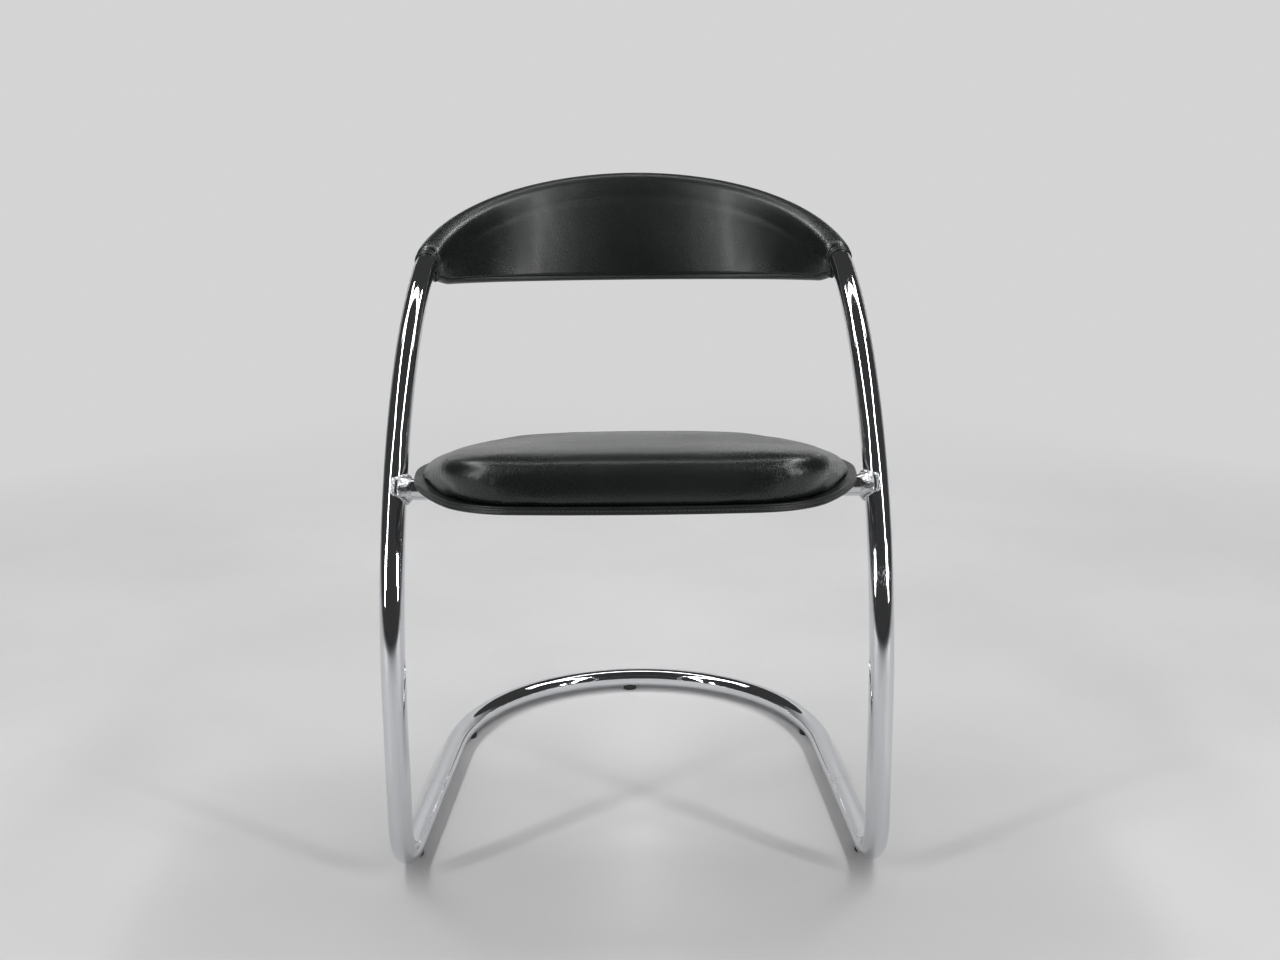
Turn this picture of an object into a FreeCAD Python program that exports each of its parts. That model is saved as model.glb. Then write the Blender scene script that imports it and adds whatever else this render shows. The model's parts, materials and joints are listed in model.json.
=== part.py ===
# Cantilever side chair: chromed steel tube frame with a padded seat and a padded back.
# Millimetres. X runs to the chair's right as seen from the front, Y to the rear, Z up.
# The origin is on the floor, in the middle of the chair's width and depth.
import FreeCAD, Part
import math
import os

V = FreeCAD.Vector
X_AXIS = V(1, 0, 0)
Z_AXIS = V(0, 0, 1)

# Frame tube
tube_diameter = 25.0
tube_wall = 2.0
leg_spacing = 490.0
leg_arc_radius = 455.0
leg_arc_start_height = 195.0
leg_arc_angle = 66.0
leg_toe_in = 1.6
front_bend_radius = 50.0

# Back hoop, drawn in the plane that leaves the leg arcs
hoop_corner_radius = 225.0
hoop_corner_angle = 60.0

# Base loop, drawn flat above the floor
rail_toe_in = 2.6
rail_length = 320.0
base_corner_radius = 275.0
base_corner_angle = 25.0

# Butt joints in the rails, each over an inner sleeve
seam_distance = 187.0
seam_gap = 0.3
sleeve_length = 80.0
sleeve_wall = 1.5
sleeve_clearance = 0.1

# Floor glides
glide_diameter = 18.0
glide_lift = 4.0
glide_saddle_height = 4.0
glide_edge_radius = 1.2
glide_pin_diameter = 4.0
glide_pin_recess = 1.0
glide_pin_head_diameter = 7.0
glide_pin_head_height = 1.5
front_glide_distance = 64.0
corner_glide_angle = 16.4
rear_glide_offset = -11.0

# Cross tube that carries the seat
cross_tube_diameter = 22.0
cross_tube_wall = 1.5
cross_tube_height = 408.0
weld_leg = 5.0

# Seat carrier plates
plate_width = 42.0
plate_length = 190.0
plate_thickness = 3.0
plate_spacing = 220.0
plate_corner_radius = 8.0
plate_weld_leg = 5.0
plate_weld_length = 32.0
screw_row_spacing = 140.0
screw_diameter = 6.0
screw_length = 16.0
screw_head_diameter = 11.0
screw_head_height = 3.2
screw_socket = 4.0
screw_hole_clearance = 0.4
washer_diameter = 13.0
washer_thickness = 1.2
tee_nut_flange_diameter = 19.0
tee_nut_flange_thickness = 1.2
tee_nut_barrel_diameter = 8.0

# Seat pad
seat_width = 447.0
seat_depth = 386.0
seat_overhang = 156.0
seat_widest_distance = 236.0
seat_pitch = 3.0
seat_front_radius = 1200.0
seat_side_radius = 380.0
seat_rear_radius = 350.0
seat_front_corner_radius = 85.0
seat_rear_corner_radius = 150.0
seat_smallest_corner = 28.0
rim_height = 7.0
rim_band = 15.0
rim_edge_radius = 2.2
rim_lift = 0.3
board_thickness = 12.0
board_inset = 22.0
bottom_cover_thickness = 1.2
cover_thickness = 1.6
pad_front_height = 46.0
pad_rear_height = 19.5

# Back pad
back_entry_advance = 26.0
back_sleeve_radius = 16.0
back_lower_drop = 18.7
back_lower_end_rise = 8.0
back_end_drop = 19.0
back_corner_run = 34.0
back_lean = 20.0
back_edge_thickness = 8.0
back_board_thickness = 3.0
back_crown = 2.5
lip_height = 5.0
lip_thickness = 10.0
cuff_length = 7.0
cuff_thickness = 2.2

# Worked out from the sizes above
tube_radius = tube_diameter / 2
bore_radius = tube_radius - tube_wall
leg_x = leg_spacing / 2
rail_z = glide_lift + tube_radius


def sin(angle):
    return math.sin(math.radians(angle))


def cos(angle):
    return math.cos(math.radians(angle))


def mirrored(point):
    return V(-point.x, point.y, point.z)


def line(start, end):
    return Part.LineSegment(start, end).toShape()


def arc(start, middle, end):
    return Part.Arc(start, middle, end).toShape()


def base_corner_point(angle):
    """A point on the right rear corner of the base, by its heading angle."""
    turn = base_corner_radius
    x = leg_x - rail_length * sin(rail_toe_in) - turn * (cos(rail_toe_in) - cos(angle))
    y = rail_length * cos(rail_toe_in) + turn * (sin(angle) - sin(rail_toe_in))
    return V(x, y, rail_z)


def base_depth():
    """How far the middle of the base's crown lies behind the legs."""
    end = base_corner_point(base_corner_angle)
    crown_radius = end.x / cos(base_corner_angle)
    return end.y + crown_radius * (1 - sin(base_corner_angle))


# The legs' fronts lie behind the middle of the whole depth by this much
whole_depth = seat_overhang + base_depth() + tube_radius
legs_y = seat_overhang - whole_depth / 2


def placed(point):
    return V(point.x, point.y + legs_y, point.z)


def rail_point(distance):
    x = leg_x - distance * sin(rail_toe_in)
    return placed(V(x, distance * cos(rail_toe_in), rail_z))


def bend_point(angle):
    """A point on the right front bend, from the rail (0) up to the leg (90)."""
    reach = front_bend_radius * (1 - sin(angle))
    x = leg_x - reach * sin(rail_toe_in)
    z = rail_z + front_bend_radius * (1 - cos(angle))
    return placed(V(x, reach * cos(rail_toe_in), z))


def leg_arc_point(angle):
    reach = leg_arc_radius * (1 - cos(angle))
    x = leg_x - reach * sin(leg_toe_in)
    z = leg_arc_start_height + leg_arc_radius * sin(angle)
    return placed(V(x, reach * cos(leg_toe_in), z))


hoop_start = leg_arc_point(leg_arc_angle)
hoop_rise = math.hypot(sin(leg_arc_angle) * cos(leg_toe_in), cos(leg_arc_angle))
hoop_heading = math.degrees(math.atan2(sin(leg_arc_angle) * sin(leg_toe_in), hoop_rise))
hoop_slope = math.degrees(math.atan2(cos(leg_arc_angle), sin(leg_arc_angle) * cos(leg_toe_in)))
HOOP_AXIS = V(0, cos(hoop_slope), sin(hoop_slope))
hoop_corner_end = hoop_corner_radius * (sin(hoop_corner_angle) - sin(hoop_heading))
hoop_crown_x = hoop_start.x - hoop_corner_radius * (cos(hoop_heading) - cos(hoop_corner_angle))
hoop_crown_radius = hoop_crown_x / cos(hoop_corner_angle)


def hoop_point(angle):
    """A point on the right half of the hoop, by its heading angle."""
    if angle <= hoop_corner_angle:
        x = hoop_start.x - hoop_corner_radius * (cos(hoop_heading) - cos(angle))
        run = hoop_corner_radius * (sin(angle) - sin(hoop_heading))
    else:
        x = hoop_crown_radius * cos(angle)
        run = hoop_corner_end + hoop_crown_radius * (sin(angle) - sin(hoop_corner_angle))
    return V(x, hoop_start.y, hoop_start.z) + HOOP_AXIS * run


def upper_path():
    """The one long line of the upper tube, from the right rail seam to the left."""
    seam = rail_point(seam_distance - seam_gap / 2)
    middle = (hoop_heading + hoop_corner_angle) / 2
    corner = hoop_point(hoop_corner_angle)
    arc_foot = placed(V(leg_x, 0, leg_arc_start_height))
    half = [
        (seam, None, bend_point(0)),
        (bend_point(0), bend_point(45), bend_point(90)),
        (bend_point(90), None, arc_foot),
        (arc_foot, leg_arc_point(leg_arc_angle / 2), hoop_start),
        (hoop_start, hoop_point(middle), corner),
    ]
    edges = [line(a, c) if b is None else arc(a, b, c) for a, b, c in half]
    edges.append(arc(corner, hoop_point(90), mirrored(corner)))
    for a, b, c in reversed(half):
        start, end = mirrored(c), mirrored(a)
        edges.append(line(start, end) if b is None else arc(start, mirrored(b), end))
    return Part.Wire(edges)


def base_path():
    """The base loop's line, from the right rail seam round the rear to the left."""
    seam = rail_point(seam_distance + seam_gap / 2)
    start = placed(base_corner_point(rail_toe_in))
    middle = placed(base_corner_point((rail_toe_in + base_corner_angle) / 2))
    end = placed(base_corner_point(base_corner_angle))
    rear = placed(V(0, base_depth(), rail_z))
    edges = [
        line(seam, start),
        arc(start, middle, end),
        arc(end, rear, mirrored(end)),
        arc(mirrored(end), mirrored(middle), mirrored(start)),
        line(mirrored(start), mirrored(seam)),
    ]
    return Part.Wire(edges)


def swept(path, radius):
    """A round bar of this radius along a path."""
    first = path.OrderedEdges[0]
    start = first.valueAt(first.FirstParameter)
    heading = first.tangentAt(first.FirstParameter)
    if path.OrderedVertexes[0].Point.distanceToPoint(start) > 0.01:
        start = first.valueAt(first.LastParameter)
        heading = first.tangentAt(first.LastParameter) * -1
    section = Part.Wire([Part.makeCircle(radius, start, heading)])
    return path.makePipeShell([section], True, False)


def disc(radius, height, base, axis=Z_AXIS):
    return Part.makeCylinder(radius, height, base, axis)


def glide_places():
    """Where each glide stands under the base, by name."""
    corner = placed(base_corner_point(corner_glide_angle))
    crown_radius = base_corner_point(base_corner_angle).x / cos(base_corner_angle)
    back_off = crown_radius - math.sqrt(crown_radius ** 2 - rear_glide_offset ** 2)
    rear = placed(V(rear_glide_offset, base_depth() - back_off, rail_z))
    front = rail_point(front_glide_distance)
    return {
        "glide_front_right": front,
        "glide_front_left": mirrored(front),
        "glide_corner_right": corner,
        "glide_corner_left": mirrored(corner),
        "glide_rear": rear,
    }


def glide_holes():
    """Short drills through the underside of the tube at every glide."""
    drills = []
    for place in glide_places().values():
        floor = V(place.x, place.y, 0)
        drills.append(disc(glide_pin_diameter / 2, rail_z, floor))
    return drills


upper_line = upper_path()
base_line = base_path()
upper_bar = swept(upper_line, tube_radius)
base_bar = swept(base_line, tube_radius)


def frame_tubes():
    upper = upper_bar.cut(swept(upper_line, bore_radius))
    base = base_bar.cut(swept(base_line, bore_radius))
    drills = glide_holes()
    return {"upper_frame_tube": upper.cut(drills), "base_loop_tube": base.cut(drills)}


def joint_sleeve(side):
    """The inner sleeve across one rail seam."""
    near = rail_point(seam_distance - sleeve_length / 2)
    far = rail_point(seam_distance + sleeve_length / 2)
    if side < 0:
        near, far = mirrored(near), mirrored(far)
    outer = bore_radius - sleeve_clearance
    ring = disc(outer, sleeve_length, near, far - near)
    return ring.cut(disc(outer - sleeve_wall, sleeve_length, near, far - near))


def glide(place, bar):
    """A moulded foot whose top is a saddle for the tube."""
    foot = disc(glide_diameter / 2, glide_lift + glide_saddle_height, V(place.x, place.y, 0))
    rim = [edge for edge in foot.Edges if edge.BoundBox.ZMax < 0.01]
    foot = foot.makeFillet(glide_edge_radius, rim)
    foot = foot.cut(bar)
    pin_hole = disc(glide_pin_diameter / 2, rail_z, V(place.x, place.y, glide_pin_recess))
    recess = disc(glide_pin_head_diameter / 2, glide_pin_recess, V(place.x, place.y, 0))
    return foot.cut([pin_hole, recess])


def glide_pin(place):
    """A rivet pin: flush in the glide and headed inside the tube."""
    inside = rail_z - bore_radius
    shank_base = V(place.x, place.y, glide_pin_recess)
    head_base = V(place.x, place.y, inside + 0.35)
    shank = disc(glide_pin_diameter / 2, inside + 0.35 - glide_pin_recess, shank_base)
    head = disc(glide_pin_head_diameter / 2, glide_pin_head_height, head_base)
    return shank.fuse(head).removeSplitter()


def glides():
    parts = {}
    for name, place in glide_places().items():
        bar = upper_bar if name.startswith("glide_front") else base_bar
        parts[name] = glide(place, bar)
    pins = [glide_pin(place) for place in glide_places().values()]
    parts["glide_pins"] = Part.makeCompound(pins)
    return parts


# Where the cross tube meets the legs
cross_angle = math.degrees(math.asin((cross_tube_height - leg_arc_start_height) / leg_arc_radius))
cross_end = leg_arc_point(cross_angle)
cross_radius = cross_tube_diameter / 2


def cross_tube():
    """The seat's cross tube, coped to both legs."""
    length = 2 * cross_end.x
    start = V(-cross_end.x, cross_end.y, cross_end.z)
    bar = disc(cross_radius, length, start, X_AXIS)
    bore = disc(cross_radius - cross_tube_wall, length, start, X_AXIS)
    return largest(bar.cut(bore).cut(upper_bar))


def largest(shape):
    return max(shape.Solids, key=lambda solid: solid.Volume)


def weld_bead(side):
    """The fillet weld round the cross tube, run down to one leg."""
    start = cross_end.x - tube_radius - weld_leg
    length = tube_radius + weld_leg - math.sqrt(tube_radius ** 2 - cross_radius ** 2)
    widest = cross_radius + weld_leg
    tip = V(side * start, cross_end.y, cross_end.z)
    cone = Part.makeCone(cross_radius + 0.4, widest, length, tip, X_AXIS * side)
    inner = disc(cross_radius, 2 * cross_end.x, V(-cross_end.x, cross_end.y, cross_end.z), X_AXIS)
    return largest(cone.cut(inner).cut(upper_bar))


# The seat lies in its own frame: z = 0 is the plane on top of the cross tube
def seat_placement():
    tip = FreeCAD.Rotation(X_AXIS, -seat_pitch)
    contact = V(0, cross_end.y, cross_end.z) + tip.multVec(V(0, 0, cross_radius))
    return FreeCAD.Placement(contact, tip)


SEAT = seat_placement()
seat_front = -(cross_end.y - legs_y) - seat_overhang
seat_rear = seat_front + seat_depth


def on_seat(shape):
    shape.Placement = SEAT.multiply(shape.Placement)
    return shape


def corner_centre(flat_centre, flat_radius, side_centre, side_radius, corner_radius):
    """The centre of a corner arc that rolls inside two larger arcs."""
    reach_a = flat_radius - corner_radius
    reach_b = side_radius - corner_radius
    apart = side_centre - flat_centre
    span = apart.Length
    along = (reach_a ** 2 - reach_b ** 2 + span ** 2) / (2 * span)
    off = math.sqrt(reach_a ** 2 - along ** 2)
    forward = apart * (1 / span)
    across = V(-forward.y, forward.x, 0)
    options = [flat_centre + forward * along + across * (off * way) for way in (1, -1)]
    return max(options, key=lambda centre: centre.x)


def inner_corner(radius, inset):
    return max(radius - inset, seat_smallest_corner)


def seat_outline(insets=(0.0, 0.0, 0.0), front_height=0.0, rear_height=0.0):
    """The seat's plan as eight tangent arcs, drawn in at front, sides and rear, on a sloping plane."""
    front_in, side_in, rear_in = insets
    front_radius = seat_front_radius - front_in
    side_radius = seat_side_radius - side_in
    rear_radius = seat_rear_radius - rear_in
    front_turn = inner_corner(seat_front_corner_radius, (front_in + side_in) / 2)
    rear_turn = inner_corner(seat_rear_corner_radius, (rear_in + side_in) / 2)
    widest = seat_front + seat_widest_distance
    front_centre = V(0, seat_front + seat_front_radius, 0)
    rear_centre = V(0, seat_rear - seat_rear_radius, 0)
    side_centre = V(seat_width / 2 - seat_side_radius, widest, 0)
    front_corner = corner_centre(front_centre, front_radius, side_centre, side_radius, front_turn)
    rear_corner = corner_centre(rear_centre, rear_radius, side_centre, side_radius, rear_turn)

    def beyond(centre, through, radius):
        way = through - centre
        return centre + way * (radius / way.Length)

    a = beyond(front_centre, front_corner, front_radius)
    b = beyond(side_centre, front_corner, side_radius)
    c = beyond(side_centre, rear_corner, side_radius)
    d = beyond(rear_centre, rear_corner, rear_radius)
    front_mid = V(0, seat_front + front_in, 0)
    rear_mid = V(0, seat_rear - rear_in, 0)
    side_mid = beyond(side_centre, (b + c) * 0.5, side_radius)
    bend_f = beyond(front_corner, (a + b) * 0.5, front_turn)
    bend_r = beyond(rear_corner, (c + d) * 0.5, rear_turn)
    turns = [
        (mirrored(a), front_mid, a),
        (a, bend_f, b),
        (b, side_mid, c),
        (c, bend_r, d),
        (d, rear_mid, mirrored(d)),
        (mirrored(d), mirrored(bend_r), mirrored(c)),
        (mirrored(c), mirrored(side_mid), mirrored(b)),
        (mirrored(b), mirrored(bend_f), mirrored(a)),
    ]
    flat = Part.Wire([arc(*turn) for turn in turns])
    if front_height == 0 and rear_height == 0:
        return flat
    fall = math.degrees(math.atan2(front_height - rear_height, seat_depth))
    tilt = FreeCAD.Placement(V(0, 0, 0), FreeCAD.Rotation(X_AXIS, -fall), V(0, seat_front, 0))
    flat.Placement = FreeCAD.Placement(V(0, 0, front_height), FreeCAD.Rotation()).multiply(tilt)
    return flat


def seat_slab(inset, base, height):
    face = Part.Face(seat_outline((inset, inset, inset)))
    face.translate(V(0, 0, base))
    return face.extrude(V(0, 0, height))


rim_base = rim_lift
board_base = plate_thickness + bottom_cover_thickness
board_top = board_base + board_thickness
pad_base = rim_base + rim_height


def pad_loft(skin):
    """The crowned pad, drawn in from its outer face by the skin's thickness."""
    # How far each level is drawn in at front, sides and rear, and its share of the pad's height
    levels = [
        (4.5, 6.0, 6.0, 0.0),
        (1.8, 9.0, 8.0, 0.12),
        (1.2, 16.0, 13.0, 0.30),
        (2.2, 26.0, 21.0, 0.50),
        (4.6, 38.0, 31.0, 0.68),
        (9.5, 53.0, 45.0, 0.825),
        (19.0, 72.0, 64.0, 0.92),
        (38.0, 94.0, 88.0, 0.972),
        (75.0, 120.0, 118.0, 1.0),
    ]
    wires = []
    for front_in, side_in, rear_in, share in levels:
        front = pad_base + (pad_front_height - skin) * share
        rear = pad_base + (pad_rear_height - skin) * share
        insets = (front_in + skin, side_in + skin, rear_in + skin)
        wires.append(seat_outline(insets, front, rear))
    return Part.makeLoft(wires, True, False)


def rim_welt():
    """The stitched leather band round the seat's lower edge."""
    outer = seat_slab(0, rim_base, rim_height)
    edges = [edge for edge in outer.Edges if abs(edge.CenterOfMass.z - rim_base - rim_height / 2) > 1]
    outer = outer.makeFillet(rim_edge_radius, edges)
    return outer.cut(seat_slab(rim_band, rim_base, rim_height))


def screw_spots():
    spots = []
    for x in (-plate_spacing / 2, plate_spacing / 2):
        for y in (-screw_row_spacing / 2, screw_row_spacing / 2):
            spots.append(V(x, y, 0))
    return spots


def seat_pieces():
    parts = {}
    hole = screw_diameter / 2 + screw_hole_clearance / 2
    spots = screw_spots()
    parts["seat_rim_welt"] = rim_welt()
    clear = [disc(hole, board_top + 40, spot) for spot in spots]
    cover = seat_slab(board_inset - 6, plate_thickness, bottom_cover_thickness)
    parts["seat_bottom_cover"] = cover.cut(clear)
    barrel = tee_nut_barrel_diameter / 2
    flange = tee_nut_flange_diameter / 2
    flange_top = board_top
    flange_base = board_top - tee_nut_flange_thickness
    sockets = []
    nuts = []
    for spot in spots:
        body = disc(barrel, board_thickness, spot + V(0, 0, board_base))
        head = disc(flange, tee_nut_flange_thickness, spot + V(0, 0, flange_base))
        nut = body.fuse(head).removeSplitter()
        sockets.append(nut)
        nuts.append(nut.cut(disc(screw_diameter / 2, board_top, spot)))
    board = seat_slab(board_inset, board_base, board_thickness)
    parts["seat_board"] = board.cut(sockets)
    parts["seat_tee_nuts"] = Part.makeCompound(nuts)
    screws = []
    washers = []
    for spot in spots:
        washer = disc(washer_diameter / 2, washer_thickness, spot - V(0, 0, washer_thickness))
        washers.append(washer.cut(disc(hole, 20, spot - V(0, 0, 10))))
        head_base = spot - V(0, 0, washer_thickness + screw_head_height)
        head = disc(screw_head_diameter / 2, screw_head_height, head_base)
        crown_edge = [edge for edge in head.Edges if edge.BoundBox.ZMax < head_base.z + 0.01]
        head = head.makeFillet(screw_head_height * 0.6, crown_edge)
        shank = disc(screw_diameter / 2, screw_length + washer_thickness, spot - V(0, 0, washer_thickness))
        screw = head.fuse(shank).removeSplitter()
        screws.append(screw.cut(hexagon_bar(screw_socket, head_base)))
    parts["seat_screws"] = Part.makeCompound(screws)
    parts["seat_washers"] = Part.makeCompound(washers)
    for side, x in (("left", -plate_spacing / 2), ("right", plate_spacing / 2)):
        parts["seat_plate_" + side] = seat_plate(x).cut(clear)
    parts["seat_plate_welds"] = plate_welds()
    foam = pad_loft(cover_thickness)
    filling = foam.fuse(seat_slab(rim_band, board_top, pad_base - board_top + 1)) if pad_base > board_top else foam
    packed = seat_slab(board_inset, 0, board_top)
    parts["seat_foam"] = largest(filling.cut(packed))
    parts["seat_top_cover"] = largest(pad_loft(0.0).cut(foam))
    return {name: on_seat(shape) for name, shape in parts.items()}


def hexagon_bar(across_flats, base):
    corner = across_flats / math.sqrt(3)
    ring = [base + V(corner * cos(60 * k), corner * sin(60 * k), 0) for k in range(7)]
    return Part.Face(Part.makePolygon(ring)).extrude(V(0, 0, screw_head_height * 0.6))


def seat_plate(x):
    """A flat steel carrier plate that lies on the cross tube under the seat."""
    corner = V(x - plate_width / 2, -plate_length / 2, 0)
    plate = Part.makeBox(plate_width, plate_length, plate_thickness, corner)
    uprights = [edge for edge in plate.Edges if abs(edge.tangentAt(edge.FirstParameter).z) > 0.9]
    return plate.makeFillet(plate_corner_radius, uprights)


def plate_welds():
    """Fillet welds in front of and behind the cross tube, under each plate."""
    beads = []
    axis = disc(cross_radius, leg_spacing, V(-leg_x, 0, -cross_radius), X_AXIS)
    for x in (-plate_spacing / 2, plate_spacing / 2):
        for way in (-1, 1):
            inner = way * plate_weld_leg * 0.9
            outer = way * plate_weld_leg * 1.8
            low = -cross_radius + math.sqrt(cross_radius ** 2 - outer ** 2) - 0.6
            start = x - plate_weld_length / 2
            ring = [V(start, inner, 0), V(start, outer, 0), V(start, outer * 0.98, low), V(start, inner, low)]
            face = Part.Face(Part.makePolygon(ring + ring[:1]))
            bead = face.extrude(V(plate_weld_length, 0, 0)).cut(axis)
            beads.append(largest(bead))
    return Part.makeCompound(beads)


def back_stations():
    """Heading angles of the back's sections, from its end to the middle."""
    def along(distance):
        return hoop_heading + math.degrees(distance / hoop_corner_radius)

    entry = along(back_entry_advance)
    turn = along(back_entry_advance + back_corner_run * 0.45)
    full = along(back_entry_advance + back_corner_run)
    rest = [full + (90 - full) * share for share in (0.2, 0.4, 0.6, 0.8, 1.0)]
    return [entry, turn, full] + rest


back_angles = back_stations()
sleeve_bore = back_sleeve_radius - cover_thickness
edge_half = back_edge_thickness / 2


class BackSection:
    """One section through the back: where it hangs and how its faces run."""

    def __init__(self, angle):
        self.centre = hoop_point(angle)
        self.out = V(cos(angle), sin(angle) * cos(hoop_slope), 0)
        self.out = self.out * (1 / self.out.Length)
        ran = math.radians(angle - back_angles[0]) * hoop_corner_radius
        share = min(ran / back_corner_run, 1.0)
        level = hoop_start.z - back_lower_drop + back_lower_end_rise * (1 - sin(angle))
        end_level = self.centre.z - back_end_drop
        bottom = end_level + (level - end_level) * (1 - (1 - share) ** 2)
        self.length = (self.centre.z - bottom) / cos(back_lean)
        self.down = Z_AXIS * -cos(back_lean) - self.out * sin(back_lean)
        self.face = self.out * -cos(back_lean) + Z_AXIS * sin(back_lean)
        self.taper = (back_sleeve_radius - edge_half) / self.length
        self.spread = math.sqrt(1 - self.taper ** 2)

    def at(self, reach, offset):
        return self.centre + self.down * reach + self.face * offset

    def offset(self, reach, depth):
        """How far a face lies off the middle plane, at this depth under the leather."""
        return (back_sleeve_radius - depth - reach * self.taper) / self.spread

    def bulge(self, reach):
        share = max(0.0, min(1.0, reach / self.length))
        return back_crown * 4 * share * (1 - share) * min(1.0, self.length / 80)

    def tangent(self, radius, way):
        """Where the front (1) or rear (-1) face leaves a circle round the tube."""
        return self.at(radius * self.taper, way * radius * self.spread)


def chain(points):
    """A closed wire of straight (two-point) and arc (three-point) pieces."""
    edges = [line(*piece) if len(piece) == 2 else arc(*piece) for piece in points]
    return Part.Wire(edges)


def cover_section(cut, way):
    """The leather on one face: round the tube from its top, then down to the edge."""
    outer_radius = back_sleeve_radius
    inner_radius = sleeve_bore
    crown = 1.0 if way > 0 else 0.3
    top_out = cut.at(-outer_radius, 0)
    top_in = cut.at(-inner_radius, 0)
    leave_out = cut.tangent(outer_radius, way)
    leave_in = cut.tangent(inner_radius, way)

    def shoulder(radius):
        lean = math.radians(45) - math.asin(cut.taper) / 2
        return cut.at(-radius * math.sin(lean), way * radius * math.cos(lean))

    middle = cut.length / 2
    bow = crown * cut.bulge(middle)
    foot_out = cut.at(cut.length, way * cut.offset(cut.length, 0))
    foot_in = cut.at(cut.length, way * cut.offset(cut.length, cover_thickness))
    mid_out = cut.at(middle, way * (cut.offset(middle, 0) + bow))
    mid_in = cut.at(middle, way * (cut.offset(middle, cover_thickness) + bow))
    return [
        (top_out, shoulder(outer_radius), leave_out),
        (leave_out, mid_out, foot_out),
        (foot_out, foot_in),
        (foot_in, mid_in, leave_in),
        (leave_in, shoulder(inner_radius), top_in),
        (top_in, top_out),
    ]


def board_section(cut):
    """The thin curved board inside the back, against the rear leather."""
    start = back_sleeve_radius + 0.4
    end = cut.length - 0.6
    ring = []
    for reach in (start, end):
        rear = -cut.offset(reach, cover_thickness)
        ring.append((cut.at(reach, rear + back_board_thickness), cut.at(reach, rear)))
    (a, b), (d, c) = ring
    return [(a, b), (b, c), (c, d), (d, a)]


def filling_section(cut):
    """The padding between the board and the front leather."""
    start = back_sleeve_radius + 0.4
    end = cut.length - 0.6
    ring = []
    for reach in (start, (start + end) / 2, end):
        rear = -cut.offset(reach, cover_thickness) + back_board_thickness
        front = cut.offset(reach, cover_thickness) + cut.bulge(reach) * 0.9
        ring.append((cut.at(reach, front), cut.at(reach, rear)))
    (a, b), (m, _), (d, c) = ring
    return [(a, b), (b, c), (c, d), (d, m, a)]


def lip_section(cut):
    """The sewn lip that closes the two leathers along the lower edge."""
    half = lip_thickness / 2
    top = cut.length
    a, b = cut.at(top, half), cut.at(top, -half)
    tip = cut.at(top + lip_height, 0)
    front = cut.at(top + lip_height * 0.66, half * 0.86)
    rear = cut.at(top + lip_height * 0.66, -half * 0.86)
    return [(a, b), (b, rear, tip), (tip, front, a)]


def back_layer(section):
    """Loft one layer through every section, from the right end to the left."""
    wires = [chain(section(BackSection(angle))) for angle in back_angles]
    for angle in reversed(back_angles[:-1]):
        pieces = section(BackSection(angle))
        wires.append(chain([tuple(mirrored(point) for point in piece) for piece in pieces]))
    return Part.makeLoft(wires, True, False)


def hoop_path(start_angle):
    """The stretch of the hoop's line that lies inside the back."""
    start = hoop_point(start_angle)
    middle = hoop_point((start_angle + hoop_corner_angle) / 2)
    corner = hoop_point(hoop_corner_angle)
    edges = [
        arc(start, middle, corner),
        arc(corner, hoop_point(90), mirrored(corner)),
        arc(mirrored(corner), mirrored(middle), mirrored(start)),
    ]
    return Part.Wire(edges)


def cuff(side):
    """The turned hem where the tube enters the leather."""
    start = hoop_point(back_angles[0])
    heading = hoop_point(back_angles[0] - 1.0) - start
    if side < 0:
        start, heading = mirrored(start), mirrored(heading)
    ring = disc(tube_radius + cuff_thickness, cuff_length, start, heading)
    edges = [edge for edge in ring.Edges if edge.Length > 1 and len(edge.Vertexes) == 1]
    ring = ring.makeFillet(cuff_thickness * 0.45, edges)
    return largest(ring.cut(upper_bar))


def back_pieces():
    path = hoop_path(back_angles[0])
    padding = swept(path, sleeve_bore).cut(swept(path, tube_radius))
    return {
        "back_front_cover": back_layer(lambda cut: cover_section(cut, 1)),
        "back_rear_cover": back_layer(lambda cut: cover_section(cut, -1)),
        "back_board": back_layer(board_section),
        "back_filling": back_layer(filling_section),
        "back_lower_lip": back_layer(lip_section),
        "back_tube_padding": padding,
        "back_cuff_right": cuff(1),
        "back_cuff_left": cuff(-1),
    }


def all_pieces():
    parts = frame_tubes()
    for name, side in (("right", 1), ("left", -1)):
        parts["joint_sleeve_" + name] = joint_sleeve(side)
        parts["weld_bead_" + name] = weld_bead(side)
    parts["seat_cross_tube"] = cross_tube()
    parts.update(glides())
    parts.update(seat_pieces())
    parts.update(back_pieces())
    return parts


os.makedirs("parts", exist_ok=True)
for name, shape in all_pieces().items():
    solids = shape.Solids
    print(name, "solids", len(solids), "volume", round(shape.Volume), "valid", shape.isValid())
    shape.exportStep("parts/" + name + ".step")
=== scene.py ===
"""Dresses a cantilever side chair: chromed tube frame, black leather seat and back, plain studio."""
import json
import math

import bmesh
import bpy
import numpy as np
from mathutils import Euler, Matrix, Vector, noise


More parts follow.
